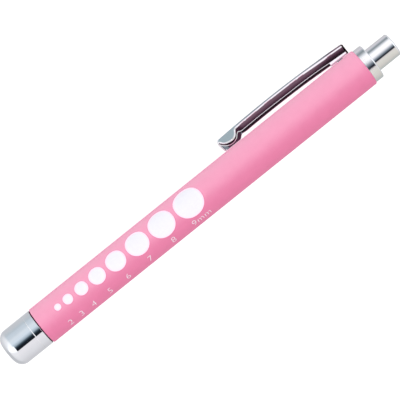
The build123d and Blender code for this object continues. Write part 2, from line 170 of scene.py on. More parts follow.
def off_axis(material):
    """The distance from the pen's axis, in millimetres."""
    y_squared = maths(material, "POWER", object_axis(material, "Y"), 2)
    z_squared = maths(material, "POWER", object_axis(material, "Z"), 2)
    return maths(material, "SQRT", maths(material, "ADD", y_squared, z_squared))


# ---- Materials ----


def finish_of(name, dark, light, rough, grain, metallic=0.0, depth=0.01, stretch=(1, 1, 1), **values):
    """A plain finish: colour, roughness and relief vary with one grain, in cells per millimetre."""
    material, shader = new_material(name)
    cells = noise(material, grain, stretch)
    colour = mixed(material, between(material, cells, 0, 1), dark, light)
    plug(material, colour, shader.inputs["Base Color"])
    plug(material, between(material, cells, *rough), shader.inputs["Roughness"])
    bump(material, shader, cells, depth)
    constants(shader, Metallic=metallic, **values)
    return material


PINK = (0.698, 0.160, 0.316)
PINK_DEEP = (0.676, 0.150, 0.300)
BARE_ALUMINIUM = (0.62, 0.63, 0.65)
PAINT_FROM = BARREL_RADIUS - 0.3  # the radius where bare metal gives way to paint
PAINT_FULL = BARREL_RADIUS - 0.2


def paint_material():
    """Satin pink paint outside, with fine orange peel; bare aluminium in the bore."""
    material, shader = new_material("pink_paint")
    mottle = noise(material, 0.35)
    peel = noise(material, 3.0, detail=2.0)
    paint = mixed(material, between(material, mottle, 0, 1), PINK_DEEP, PINK)
    outside = between(material, off_axis(material), 0, 1, PAINT_FROM, PAINT_FULL)
    plug(material, mixed(material, outside, BARE_ALUMINIUM, paint), shader.inputs["Base Color"])
    plug(material, between(material, outside, 1, 0, 0, 1), shader.inputs["Metallic"])
    plug(material, between(material, peel, 0.53, 0.59), shader.inputs["Roughness"])
    bump(material, shader, peel, 0.004)
    constants(shader, Specular_IOR_Level=0.7)
    return material


# Painted shade: a near-black colour painted on the clip's plating at its root end, standing in for shade
# there.
ROOT_PAINTED_SHADE = (0.022, 0.008, 0.007)
ROOT_SHADE_FADE = 0.15
CLOUD_SHADE = 0.965


def chrome_material(name, colour, rough, painted_shade_from=None):
    """Polished plating with faint clouding and polishing marks round the pen, and painted shade from a
    given x rearwards.
    """
    material, shader = new_material(name)
    clouds = noise(material, 0.25)
    marks = noise(material, 2.5, stretch=(6, 0.5, 0.5))
    shade = tuple(channel * CLOUD_SHADE for channel in colour)
    plated = mixed(material, between(material, clouds, 0, 1), shade, colour)
    # painted shade: the plating darkens to a near-black colour from this x towards the root
    if painted_shade_from is not None:
        cut = between(material, object_axis(material, "X"), 0, 1, painted_shade_from, painted_shade_from + ROOT_SHADE_FADE)
        plated = mixed(material, cut, plated, ROOT_PAINTED_SHADE)
    plug(material, plated, shader.inputs["Base Color"])
    plug(material, between(material, marks, rough * 0.8, rough * 1.2), shader.inputs["Roughness"])
    bump(material, shader, marks, 0.0004)
    constants(shader, Metallic=1.0)
    return material


SLEEVE_REPEAT = 44.55  # from one cell's sleeve to the next
COPPER_FROM = 0.615  # shares of the sleeve's repeat
COPPER_FULL = 0.62


def jacket_material():
    """A cell's printed sleeve: a dark body with a copper-coloured end."""
    material, shader = new_material("cell_sleeve")
    share = maths(material, "FRACT", maths(material, "DIVIDE", object_axis(material, "X"), SLEEVE_REPEAT))
    clouds = noise(material, 0.8)
    dark = mixed(material, clouds, (0.03, 0.035, 0.05), (0.05, 0.055, 0.075))
    copper = mixed(material, clouds, (0.55, 0.27, 0.10), (0.68, 0.36, 0.15))
    end = between(material, share, 0, 1, COPPER_FROM, COPPER_FULL)
    plug(material, mixed(material, end, dark, copper), shader.inputs["Base Color"])
    plug(material, between(material, clouds, 0.22, 0.34), shader.inputs["Roughness"])
    bump(material, shader, clouds, 0.01)
    constants(shader, Metallic=0.55, Coat_Weight=0.6)
    return material


def waves(material, place, per_millimetre):
    """Even waves along a place in millimetres, with their angle in radians per millimetre."""
    return maths(material, "SINE", maths(material, "MULTIPLY", place, per_millimetre))


def lens_material():
    """Clear moulded polycarbonate with faint turning rings."""
    material, shader = new_material("clear_polycarbonate")
    rings = waves(material, off_axis(material), 14.0)
    clouds = noise(material, 1.5)
    tint = mixed(material, clouds, (0.97, 0.985, 1.0), (1.0, 1.0, 1.0))
    plug(material, tint, shader.inputs["Base Color"])
    plug(material, between(material, clouds, 0.01, 0.04), shader.inputs["Roughness"])
    bump(material, shader, rings, 0.0006)
    constants(shader, IOR=1.585, Transmission_Weight=1.0)
    return material


def reflector_material():
    """Vapour-plated cup with faint rings and orange peel."""
    material, shader = new_material("plated_cup")
    peel = noise(material, 2.0)
    rings = waves(material, object_axis(material, "X"), 9.0)
    plating = mixed(material, peel, (0.80, 0.81, 0.83), (0.92, 0.92, 0.93))
    plug(material, plating, shader.inputs["Base Color"])
    plug(material, between(material, peel, 0.05, 0.12), shader.inputs["Roughness"])
    bump(material, shader, maths(material, "ADD", peel, rings), 0.004)
    constants(shader, Metallic=1.0)
    return material


def led_material():
    """Clear epoxy that shows the yellow phosphor round the chip at its centre."""
    material, shader = new_material("led_resin")
    clouds = noise(material, 1.2)
    core = between(material, off_axis(material), 1, 0, 0.7, 1.5)
    clear = mixed(material, clouds, (0.82, 0.85, 0.86), (0.92, 0.94, 0.95))
    plug(material, mixed(material, core, clear, (0.95, 0.74, 0.12)), shader.inputs["Base Color"])
    plug(material, between(material, clouds, 0.05, 0.12), shader.inputs["Roughness"])
    bump(material, shader, clouds, 0.004)
    constants(shader, IOR=1.53, Transmission_Weight=0.35, Coat_Weight=0.8)
    return material


def board_material():
    """Green solder mask with paler tracks under it."""
    material, shader = new_material("solder_mask")
    speckle = noise(material, 3.0)
    tracks = waves(material, object_axis(material, "Y"), 5.2)
    mask = mixed(material, speckle, (0.010, 0.09, 0.035), (0.018, 0.13, 0.05))
    track = between(material, tracks, 0, 1, 0.35, 0.5)
    plug(material, mixed(material, track, mask, (0.05, 0.24, 0.09)), shader.inputs["Base Color"])
    plug(material, between(material, speckle, 0.3, 0.42), shader.inputs["Roughness"])
    bump(material, shader, track, 0.03)
    constants(shader, Coat_Weight=0.4)
    return material


INK = (0.83, 0.82, 0.86)
INK_THIN = (0.81, 0.79, 0.84)
INK_RIM = (1.0, 0.76, 0.88)


def ink_material():
    """White screen-printing ink, a little uneven, its thicker rim letting a warm edge show."""
    material, shader = new_material("white_ink")
    cover = noise(material, 1.4, detail=4.0)
    rim = material.node_tree.nodes.new("ShaderNodeAttribute")
    rim.attribute_name = "rim"
    flat = mixed(material, between(material, cover, 0, 1), INK_THIN, INK)
    plug(material, mixed(material, rim.outputs["Fac"], flat, INK_RIM), shader.inputs["Base Color"])
    plug(material, between(material, cover, 0.42, 0.55), shader.inputs["Roughness"])
    bump(material, shader, cover, 0.003)
    constants(shader, Specular_IOR_Level=0.2)
    return material


CHROME = (0.70, 0.72, 0.75)
CLIP_STEEL = (0.70, 0.71, 0.74)
CLIP_ROOT = 127.4
# where the painted shade at the clip's root end begins
CLIP_ROOT_SHADE_FRONT = CLIP_ROOT - 0.6

chrome = chrome_material("polished_chrome", CHROME, 0.03)
clip_steel = chrome_material("plated_spring_steel", CLIP_STEEL, 0.05, painted_shade_from=CLIP_ROOT_SHADE_FRONT)
spring_wire = finish_of(
    "spring_wire", (0.42, 0.42, 0.43), (0.60, 0.60, 0.62), (0.22, 0.34), 2.0,
    metallic=1.0, depth=0.004, stretch=(0.4, 1, 1),
)
brass = finish_of(
    "brass", (0.62, 0.40, 0.13), (0.78, 0.55, 0.22), (0.20, 0.34), 1.6,
    metallic=1.0, depth=0.004, stretch=(0.3, 1, 1),
)
black_plastic = finish_of("black_plastic", (0.012, 0.012, 0.013), (0.03, 0.03, 0.032), (0.38, 0.52), 4.0)
white_plastic = finish_of(
    "white_acetal", (0.78, 0.78, 0.75), (0.86, 0.86, 0.84), (0.35, 0.5), 3.0,
    depth=0.006, Subsurface_Weight=0.15,
)
rubber = finish_of(
    "black_rubber", (0.016, 0.005, 0.009), (0.024, 0.008, 0.013), (0.6, 0.78), 5.0,
    Specular_IOR_Level=0.1,
)
zinc_can = finish_of("zinc_can", (0.33, 0.34, 0.36), (0.47, 0.48, 0.50), (0.35, 0.5), 0.9, metallic=0.8)
nickel_cap = finish_of(
    "nickel_cap", (0.62, 0.61, 0.58), (0.76, 0.75, 0.72), (0.16, 0.28), 1.2,
    metallic=1.0, depth=0.006,
)
tinned_wire = finish_of(
    "tinned_wire", (0.55, 0.56, 0.57), (0.72, 0.72, 0.73), (0.25, 0.4), 3.0,
    metallic=1.0, depth=0.008,
)
ceramic = finish_of("resistor_body", (0.015, 0.015, 0.018), (0.06, 0.06, 0.065), (0.3, 0.45), 3.0)
cell_sleeve = jacket_material()

NODE_MATERIALS = {
    "barrel_tube": paint_material(),
    "lens": lens_material(),
    "reflector": reflector_material(),
    "led_body": led_material(),
    "led_leads": tinned_wire,
    "driver_board": board_material(),
    "resistor": ceramic,
    "head_o_ring": rubber,
}
SHARED_MATERIALS = (
    (chrome, ("tail_collar", "push_button")),
    (black_plastic, ("led_holder", "switch_base", "switch_housing")),
    (white_plastic, ("switch_plunger", "switch_rotor")),
    (spring_wire, ("front_contact_spring", "tail_spring")),
    (brass, ("module_retaining_ring", "centre_contact", "barrel_contact_ring", "moving_contact")),
    (zinc_can, ("front_cell_can", "rear_cell_can")),
    (cell_sleeve, ("front_cell_jacket", "rear_cell_jacket")),
    (nickel_cap, ("front_cell_positive_cap", "front_cell_negative_cap")),
    (nickel_cap, ("rear_cell_positive_cap", "rear_cell_negative_cap")),
)
for material, names in SHARED_MATERIALS:
    NODE_MATERIALS.update(dict.fromkeys(names, material))
for name, material in NODE_MATERIALS.items():
    frame["nodes"][name].material_slots[0].material = material


# ---- Meshes and pieces ----


def outwards(mesh):
    """Merge doubled points and turn all faces outwards."""
    shape = bmesh.new()
    shape.from_mesh(mesh)
    bmesh.ops.remove_doubles(shape, verts=shape.verts, dist=1e-7)
    bmesh.ops.recalc_face_normals(shape, faces=shape.faces)
    shape.to_mesh(mesh)
    shape.free()


def skin_mesh(name, rings, capped=True):
    """A closed mesh through loops of points, capped at both ends or joined from last to first."""
    rows, columns = len(rings), len(rings[0])
    points = [tuple(coordinate * MM for coordinate in point) for ring in rings for point in ring]
    faces = []
    for row in range(rows - 1 if capped else rows):
        here = row * columns
        below = (row + 1) % rows * columns
        for column in range(columns):
            beside = (column + 1) % columns
            faces.append((here + column, here + beside, below + beside, below + column))
    if capped:
        faces += [tuple(range(columns)), tuple(range(len(points) - columns, len(points)))]
    mesh = bpy.data.meshes.new(name)
    mesh.from_pydata(points, [], faces)
    outwards(mesh)
    return mesh


SUPPORT_MARGIN = 0.05


def supported(outline):
    """The closed outline with a point close to both ends of each long run, to keep its shading true."""
    points = []
    for start, end in zip(outline, outline[1:] + outline[:1]):
        points.append(start)
        run = (end[0] - start[0], end[1] - start[1])
        length = np.hypot(*run)
        if length > 5 * SUPPORT_MARGIN:
            for share in (SUPPORT_MARGIN / length, 1 - SUPPORT_MARGIN / length):
                points.append((start[0] + run[0] * share, start[1] + run[1] * share))
    return points


def turned(name, profile, segments, radius_of):
    """A closed profile of (x, radius) points turned about the pen's axis, its radius varied round it."""
    rings = []
    for x, radius in supported(profile):
        ring = []
        for step in range(segments):
            angle = 2 * pi * step / segments
            local = radius_of(x, radius, angle)
            ring.append((x, local * cos(angle), local * sin(angle)))
        rings.append(ring)
    return skin_mesh(name, rings, capped=False)


def arc(centre, radius, start, end, steps):
    """Points along an arc in the profile's plane, from one angle to the other in degrees."""
    angles = np.radians(np.linspace(start, end, steps + 1))
    return [(centre[0] + radius * cos(a), centre[1] + radius * sin(a)) for a in angles]


def add_piece(name, mesh, body, material, crease=30):
    """A new piece from a mesh in metres, smooth but for its creases."""
    mesh.shade_smooth()
    mesh.set_sharp_from_angle(angle=radians(crease))
    mesh.materials.append(material)
    piece = bpy.data.objects.new(name, mesh)
    bpy.context.scene.collection.objects.link(piece)
    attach(piece, body)
    return piece


# Head: the chrome bezel with its screw thread

NOSE_RADIUS = reach("bezel")[2]
NOSE_REAR = reach("head_o_ring")[0]
SKIRT_REAR = reach("bezel")[1]
NOSE_CORNER = 3.0
NOSE_APERTURE = 1.9
NOSE_RIM = 1.0
NOSE_BORE = 4.4
NOSE_SEGMENTS = 180
# the aperture's rounded edge, as distances back from the rim and out from the aperture
MOUTH_EDGE = ((0.14, 0.0), (0.02, 0.10), (0.0, 0.16))
GROOVE_CENTRE = 9.45
GROOVE_DEPTH = 0.03
GROOVE_HALF_WIDTH = 0.11
NOSE_END = NOSE_REAR - 0.07  # just clear of the O-ring
NOSE_END_EDGE = 0.08
SKIRT_EDGE = 0.08
SKIRT_CHAMFER = 0.15
THREAD_CREST = 5.24
THREAD_DEPTH = 0.2
THREAD_PITCH = 0.5
THREAD_FRONT = NOSE_REAR + 0.15
THREAD_REAR = SKIRT_REAR - 0.2
THREAD_START = THREAD_FRONT + 0.15
THREAD_RUN_OUT = 0.5
THREAD_ROOT = 0.2  # shares of half a turn
THREAD_FLANK = 0.6
ROWS_PER_TURN = 12


def thread_radius(x, radius, angle):
    """The skirt's radius with the helical thread on it; other radii stay as they are."""
    if abs(radius - THREAD_CREST) > 0.001:
        return radius
    turn = (x / THREAD_PITCH - angle / (2 * pi)) % 1
    flank = np.clip((abs(turn - 0.5) * 2 - THREAD_ROOT) / THREAD_FLANK, 0, 1)
    starts = smooth_step(THREAD_START, THREAD_START + THREAD_RUN_OUT, x)
    ends = smooth_step(THREAD_REAR, THREAD_REAR - THREAD_RUN_OUT, x)
    return radius - THREAD_DEPTH * (1 - flank * starts * ends)


def bezel_profile():
    """The bezel's closed outline, from the aperture round the outside and back through the bore."""
    outline = [(NOSE_RIM, NOSE_APERTURE)]
    outline += [(back, NOSE_APERTURE + outward) for back, outward in MOUTH_EDGE]
    outline += arc((NOSE_CORNER, NOSE_RADIUS - NOSE_CORNER), NOSE_CORNER, 180, 90, 32)
    for share in np.linspace(-1, 1, 17):
        dip = GROOVE_DEPTH * (0.5 + 0.5 * cos(pi * share))
        outline.append((GROOVE_CENTRE + GROOVE_HALF_WIDTH * share, NOSE_RADIUS - dip))
    outline += arc((NOSE_END - NOSE_END_EDGE, NOSE_RADIUS - NOSE_END_EDGE), NOSE_END_EDGE, 90, 0, 8)
    outline.append((NOSE_END, THREAD_CREST - THREAD_DEPTH))
    rows = int((THREAD_REAR - THREAD_FRONT) / THREAD_PITCH * ROWS_PER_TURN)
    outline += [(x, THREAD_CREST) for x in np.linspace(THREAD_FRONT, THREAD_REAR, rows)]
    outline.append((SKIRT_REAR, THREAD_CREST - THREAD_DEPTH - SKIRT_CHAMFER))
    outline += [(SKIRT_REAR, NOSE_BORE + SKIRT_EDGE), (SKIRT_REAR - SKIRT_EDGE, NOSE_BORE)]
    outline.append((NOSE_RIM, NOSE_BORE))
    return outline


bezel_mesh = turned("chrome_bezel", bezel_profile(), NOSE_SEGMENTS, thread_radius)
bezel = add_piece("chrome_bezel", bezel_mesh, "head", chrome)
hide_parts("bezel")


# Switch springs, coiled in place of the CAD springs; in the pen they shorten as the button goes in, but
# these coils stay at rest

WIRE_STEPS = 48  # along the wire, per turn
WIRE_SIDES = 12
CLOSED_TURN = 0.85  # of a turn at each end


def coil_mesh(name, front, rear, coil_radius, wire, turns):
    """A compression spring with closed ends, its wire's centre line a helix about the pen's axis."""
    count = int((turns + 2 * CLOSED_TURN) * WIRE_STEPS)
    rise = (rear - front) - 3 * wire
    rings = []
    for step in range(count + 1):
        turn = step / WIRE_STEPS
        past_front = turn - CLOSED_TURN
        end_turns = np.clip(turn / CLOSED_TURN, 0, 1) + np.clip((past_front - turns) / CLOSED_TURN, 0, 1)
        x = front + wire / 2 + wire * end_turns + rise * np.clip(past_front / turns, 0, 1)
        out = Vector((0, cos(2 * pi * turn), sin(2 * pi * turn)))
        ring = []
        for side in range(WIRE_SIDES):
            around = 2 * pi * side / WIRE_SIDES
            point = out * (coil_radius + wire / 2 * cos(around)) + ALONG * (x + wire / 2 * sin(around))
            ring.append(tuple(point))
        rings.append(ring)
    return skin_mesh(name, rings)


for name, node, coil_radius, wire, turns in (
    ("button_return_spring", "return_spring", 2.9, 0.45, 4.0),
    ("contact_pressure_spring", "contact_spring", 2.75, 0.3, 3.5),
):
    front, rear, _ = reach(node)
    coil = coil_mesh(name, front, rear, coil_radius, wire, turns)
    spring = add_piece(name, coil, "barrel", spring_wire, crease=60)
    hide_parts(node)
    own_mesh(spring)


# Pocket clip. Its side is a relief: bands whose edges run along it at depths below its outer line.

TIP_FRONT = 82.7
TIP_REAR = 84.0  # the tip's front edge is rounded up to here
TIP_ROUNDING = 0.3
ARM_FRONT = 92.0  # from here on the bands' edges run almost straight
FOOT_FRONT = 121.3
CLIP_CROWN_X = 100.5
CLIP_CROWN_HEIGHT = BARREL_RADIUS + 4.33
CLIP_ARCH_RADIUS = 369.0
CLIP_SEAT = BARREL_RADIUS + 0.06
ARM_HEIGHT = 3.33
REAR_ARM_EXTRA = 0.07  # more height towards the foot
FOOT_MARGIN = 0.1  # left under the foot's bright band

CLIP_HALF_WIDTH = 2.23
FACE_DEPTH = 2.24  # where the face is at its full half-width
SIDE_DEPTH = 0.92  # where the arm's side begins
SIDE_STEP = 0.33  # how far it lies there inside the full half-width
SIDE_LEAN_RUN = 1.5  # how far below that its lean grows

# stretches over which the form changes, each from where the change begins to where it is complete
TO_TIP = (85.2, 83.4)
TO_SPOON = (91.0, 88.8)
TO_SPOON_LINE = (91.0, 89.6)
TO_SPOON_SIDE = (91.6, 90.0)
TO_SPOON_CURVE = (91.6, 89.5)
TO_SPOON_LOW = (90.4, 89.6)
TO_ARM_UNDERSIDE = (89.8, 91.5)
TO_HOLLOW = (90.4, 91.8)
TO_REAR_ARM = (112.0, 119.0)
TO_FOOT_SIDE = (115.5, 122.0)
TO_FOOT_FACE = (119.0, 122.0)
TO_ROOT_FACE = (121.5, 124.0)
TO_FOOT = (FOOT_FRONT, FOOT_FRONT + 0.25)
TO_FOOT_BAND = (FOOT_FRONT, FOOT_FRONT + 0.2)
TO_FOOT_RIM = (FOOT_FRONT, FOOT_FRONT + 0.3)
OUT_OF_FOOT = (FOOT_FRONT - 0.2, FOOT_FRONT - 1.6)


def through(*points):
    """A smooth curve through a few points, as a function of x."""
    xs, ys = (np.array(column, float) for column in zip(*points))
    slopes = np.gradient(ys, xs)
    # no overshoot where a stretch is flat
    for index in range(len(xs) - 1):
        if abs(ys[index + 1] - ys[index]) < 1e-9:
            slopes[index] = slopes[index + 1] = 0

    def value(x):
        x = min(max(x, xs[0]), xs[-1])
        index = min(int(np.searchsorted(xs, x, "right")) - 1, len(xs) - 2)
        width = xs[index + 1] - xs[index]
        t = (x - xs[index]) / width
        return (
            ys[index] * (2 * t**3 - 3 * t**2 + 1)
            + slopes[index] * width * (t**3 - 2 * t**2 + t)
            + ys[index + 1] * (3 * t**2 - 2 * t**3)
            + slopes[index + 1] * width * (t**3 - t**2)
        )

    return value


def blended(start, *changes):
    """A value that changes by an amount over each given stretch of the clip, as a function of x."""

    def value(x):
        return start + sum(amount * smooth_step(*stretch, x) for amount, stretch in changes)

    return value


# the edge round the half-moon face, as a depth below the outer line
face_edge = through(
    (82.6, 0.1), (83.1, 0.4), (83.6, 0.77), (84.0, 1.35), (84.4, 1.72), (85.2, 2.06), (86.0, 2.27),
    (86.5, 2.34), (87.0, 2.32), (87.5, 2.14), (87.9, 1.84), (88.4, 1.27), (88.7, 0.8), (89.1, 0.53),
    (90.0, 0.47), (95.0, 0.46), (100.0, 0.40), (106.0, 0.39), (112.0, 0.39), (118.0, 0.47), (121.0, 0.5),
    (130.0, 0.5),
)
# the edge under the side, as a depth below the outer line
side_edge = through(
    (82.6, 0.6), (83.1, 1.35), (83.6, 2.0), (84.4, 2.72), (85.2, 3.17), (85.9, 3.34), (87.3, 3.18),
    (88.0, 2.85), (88.6, 2.22), (89.1, 1.9), (89.5, 1.88), (89.9, 2.14), (90.3, 2.28), (91.0, 2.31),
    (95.0, 2.31), (105.0, 2.4), (118.0, 2.42), (121.0, 2.51), (130.0, 2.49),
)
# the width of the bevel below the face
bevel_band = through(
    (82.4, 0.40), (85.8, 0.42), (88.4, 0.46), (89.4, 0.41), (95.0, 0.38), (106.0, 0.38), (112.0, 0.42),
    (118.0, 0.5), (121.0, 0.5), (122.3, 0.38), (130.0, 0.38),
)
# how far the top falls below the outer line at both ends
top_drop = through(
    (82.7, 1.15), (82.8, 0.6), (82.95, 0.27), (83.15, 0.07), (83.45, 0.0), (126.7, 0.0), (127.1, 0.12),
    (127.4, 0.4),
)
# the height of the spoon's underside from the pen's axis
underside = through(
    (82.7, 8.45), (82.8, 7.7), (82.95, 6.9), (83.15, 6.2), (83.4, CLIP_SEAT), (88.4, CLIP_SEAT),
    (88.9, 6.05), (89.5, 6.6), (90.1, 6.83), (91.0, 6.88),
)

# how far each band leans, in degrees from the clip's middle plane
face_lean = blended(3.3, (1.9, TO_SPOON), (-1.0, TO_REAR_ARM), (-2.0, TO_FOOT_FACE), (-3.5, TO_ROOT_FACE))
bevel_lean = blended(22.0, (6.0, TO_SPOON))
side_lean = blended(3.5, (1.8, TO_FOOT_SIDE), (4.0, TO_SPOON_SIDE))
side_lean_gain = blended(3.8, (-3.04, TO_SPOON_CURVE))  # per millimetre of the side's depth
fine_lean = blended(20.0, (4.0, TO_SPOON))
low_lean = blended(11.0, (-3.5, TO_SPOON_LOW), (-2.5, TO_TIP))
fine_line = blended(0.12, (0.08, TO_SPOON_LINE))  # the fine band's height ahead of the foot


def arch(x):
    """Height of the clip's outer line from the pen's axis."""
    return CLIP_CROWN_HEIGHT - CLIP_ARCH_RADIUS + sqrt(CLIP_ARCH_RADIUS**2 - (x - CLIP_CROWN_X) ** 2)


def clip_bottom(x):
    """Height of the clip's underside: the spoon, the arm that arches clear of the barrel, and the foot."""
    spoon = underside(x)
    arm = arch(x) - ARM_HEIGHT - REAR_ARM_EXTRA * smooth_step(*TO_REAR_ARM, x)
    foot = smooth_step(*TO_FOOT, x)
    joined = spoon + (arm - spoon) * smooth_step(*TO_ARM_UNDERSIDE, x)
    return joined * (1 - foot) + CLIP_SEAT * foot


def fine_band(x):
    """Height of the bright band under the side: a fine line, but the whole foot at the rear."""
    foot = smooth_step(*TO_FOOT_BAND, x)
    whole = arch(x) - CLIP_SEAT - side_edge(x) - FOOT_MARGIN
    return fine_line(x) * (1 - foot) + whole * foot


EDGE_SPACING = 0.02
EDGE_STRETCH = (82.4, 94.0)  # where the bands' edges bend
TOP_EDGE_LENGTH = 0.65
BOTTOM_EDGE_LENGTH = 0.8


def sampled(curve, front, rear):
    """Points close together along an edge of the side."""
    xs = np.arange(front, rear, EDGE_SPACING)
    return np.array([(x, curve(x)) for x in xs])


def spoon_bottom(x):
    """Depth of the spoon's underside below the outer line."""
    return arch(x) - underside(x)


FACE_EDGE = sampled(face_edge, *EDGE_STRETCH)
SIDE_EDGE = sampled(side_edge, *EDGE_STRETCH)
FRONT_EDGE = np.vstack([
    sampled(top_drop, TIP_FRONT, TIP_FRONT + TOP_EDGE_LENGTH),
    sampled(spoon_bottom, TIP_FRONT, TIP_FRONT + BOTTOM_EDGE_LENGTH),
])


def nearest(edge, x, depths):
    """Distance of each depth at a section from the nearest point of an edge."""
    return np.hypot(edge[:, 0] - x, edge[:, 1] - depths[:, None]).min(axis=1)


def beyond(curve, edge, x, depths):
    """Distance below a band's edge, negative above it."""
    straight = depths - curve(x)
    if x > ARM_FRONT:
        return straight
    return np.where(straight < 0, -1, 1) * nearest(edge, x, depths)


def fall(lean):
    """How much a band's half-width changes per millimetre of depth, from its lean in degrees."""
    return tan(radians(lean))


def relief(x, depths):
    """Half-width of the clip at depths below its outer line."""
    face = CLIP_HALF_WIDTH + (depths - FACE_DEPTH) * fall(face_lean(x))
    below = depths - SIDE_DEPTH
    curved = np.clip(below, 0, SIDE_LEAN_RUN)
    side = CLIP_HALF_WIDTH - SIDE_STEP - below * fall(side_lean(x))
    side = side - radians(side_lean_gain(x)) * (curved * below - curved**2 / 2)
    past_face = beyond(face_edge, FACE_EDGE, x, depths)
    bevel = face - np.clip(past_face, 0, None) * fall(bevel_lean(x))
    widths = np.where(past_face <= bevel_band(x), np.maximum(bevel, side), side)
    widths = np.where(past_face <= 0, face, widths)
    past_side = beyond(side_edge, SIDE_EDGE, x, depths)
    fine = np.clip(past_side, 0, fine_band(x))
    low = np.clip(past_side - fine_band(x), 0, None)
    side_fall = fall(side_lean(x) + side_lean_gain(x) * SIDE_LEAN_RUN)
    widths = widths - fine * (fall(fine_lean(x)) - side_fall) - low * (fall(low_lean(x)) - side_fall)
    if x < TIP_REAR:
        inside = np.clip(nearest(FRONT_EDGE, x, depths) / TIP_ROUNDING, 0, 1)
        widths = widths - TIP_ROUNDING * (1 - np.sqrt(1 - (1 - inside) ** 2))
    return widths


LIP = 0.12  # radius along the top's edge
LIP_LIMIT = 0.2  # of the section's height
RIM = 0.08  # chamfer along the lower edge
RIM_LIMIT = 0.04  # of the section's height
FOOT_RIM = 0.12  # added at the foot
TRIAL_DEPTHS = 500
EDGE_GAP = 0.02  # least share of the height between two edges
STEP_GAP = 0.006  # share of the height for the step under the bevel
BAND_ROWS = (4, 4, 1, 9, 2, 5)  # face, bevel, step, side, fine band and lowest band
WALL = 0.55
WALL_DRAFT = 0.1
TOP_THICKNESS = 0.75
HOLLOW_LEAST = 0.02


def edge_depths(x, drop, bottom):
    """Depths at which the bevel, the side, the fine band and the lowest band begin."""
    trial = np.linspace(drop, bottom, TRIAL_DEPTHS)
    past_face = beyond(face_edge, FACE_EDGE, x, trial)
    past_side = beyond(side_edge, SIDE_EDGE, x, trial)
    limits = ((past_face, 0), (past_face, bevel_band(x)), (past_side, 0), (past_side, fine_band(x)))
    return [float(np.interp(limit, past, trial)) for past, limit in limits]


def clip_section(x):
    """One side of a section as (height, half-width) points, from the top's middle to the hollow's."""
    drop = top_drop(x)
    bottom = arch(x) - clip_bottom(x)
    height = bottom - drop
    lip = min(LIP, height * LIP_LIMIT)
    rim = min(RIM, height * RIM_LIMIT) + FOOT_RIM * smooth_step(*TO_FOOT_RIM, x)
    marks = [drop + lip, *edge_depths(x, drop, bottom), bottom - rim]
    for index in range(1, 5):
        ceiling = marks[-1] - (5 - index) * height * EDGE_GAP
        marks[index] = min(max(marks[index], marks[index - 1] + height * EDGE_GAP), ceiling)
    marks.insert(3, marks[2] + height * STEP_GAP)
    depths = [marks[0]]
    for start, end, steps in zip(marks, marks[1:], BAND_ROWS):
        depths += list(np.linspace(start, end, steps + 1)[1:])
    depths = np.array(depths)
    widths = relief(x, depths)
    top = arch(x) - drop
    outline = [(top, 0.0)]
    outline += arc((top - lip, widths[0] - lip), lip, 0, 90, 6)[:-1]
    outline += [(arch(x) - depth, width) for depth, width in zip(depths, widths)]
    floor = arch(x) - bottom
    hollow = smooth_step(*TO_HOLLOW, x) * smooth_step(*OUT_OF_FOOT, x)
    roof = floor + HOLLOW_LEAST + (height - TOP_THICKNESS) * hollow
    inner = widths[-1] - WALL
    outline += [(floor, widths[-1] - rim), (floor, inner), (roof, inner - WALL_DRAFT), (roof, 0.0)]
    return outline


ROOT_EDGE = 0.08
ROOT_END = CLIP_ROOT - ROOT_EDGE
ROOT_HEIGHT_SCALE = 0.97
ROOT_WIDTH_SCALE = 0.96
TIP_RUN = 0.6
SPOON_FRONT = TIP_FRONT + 0.7
FOOT_STEP_FRONT = FOOT_FRONT - 0.3
FOOT_STEP_REAR = FOOT_FRONT + 0.5
CLOSE_SPACING = 0.1
ARM_SPACING = 0.6
# the sections' places: closest at the tip, close along the spoon and where the foot begins
STATIONS = np.concatenate([
    TIP_FRONT + TIP_RUN * np.linspace(0, 1, 13) ** 1.6,
    np.arange(SPOON_FRONT, ARM_FRONT, CLOSE_SPACING),
    np.arange(ARM_FRONT, FOOT_STEP_FRONT, ARM_SPACING),
    np.arange(FOOT_STEP_FRONT, FOOT_STEP_REAR, CLOSE_SPACING),
    np.linspace(FOOT_FRONT + 0.6, ROOT_END, 14),
])

TONGUE_FRONT = 123.45
TONGUE_REAR = 126.1
TONGUE_BOTTOM = 4.55
TONGUE_SHEET = 0.4
TONGUE_HALF_WIDTH = 1.31
STEM_REAR = TONGUE_FRONT + 0.95
STEM_TOP = CLIP_SEAT + 0.3  # inside the foot
HEEL_REAR = 125.1
HEEL_BOTTOM = BARREL_RADIUS - 0.4
TONGUE_OUTLINE = (
    (TONGUE_FRONT, TONGUE_BOTTOM),
    (TONGUE_REAR, TONGUE_BOTTOM),
    (TONGUE_REAR, TONGUE_BOTTOM + TONGUE_SHEET),
    (STEM_REAR, TONGUE_BOTTOM + TONGUE_SHEET),
    (STEM_REAR, HEEL_BOTTOM),
    (HEEL_REAR, HEEL_BOTTOM),
    (HEEL_REAR, STEM_TOP),
    (TONGUE_FRONT, STEM_TOP),
)


def clip_point(x, height, width):
    """A point given by its place along the pen, its height from the axis and its place across the clip."""
    return tuple(ALONG * x + OUT * height + SIDE * width)


def clip_loop(x, half):
    """A section's half and its mirror image as one loop of points."""
    loop = half + [(height, -width) for height, width in reversed(half[1:-1])]
    return [clip_point(x, height, width) for height, width in loop]


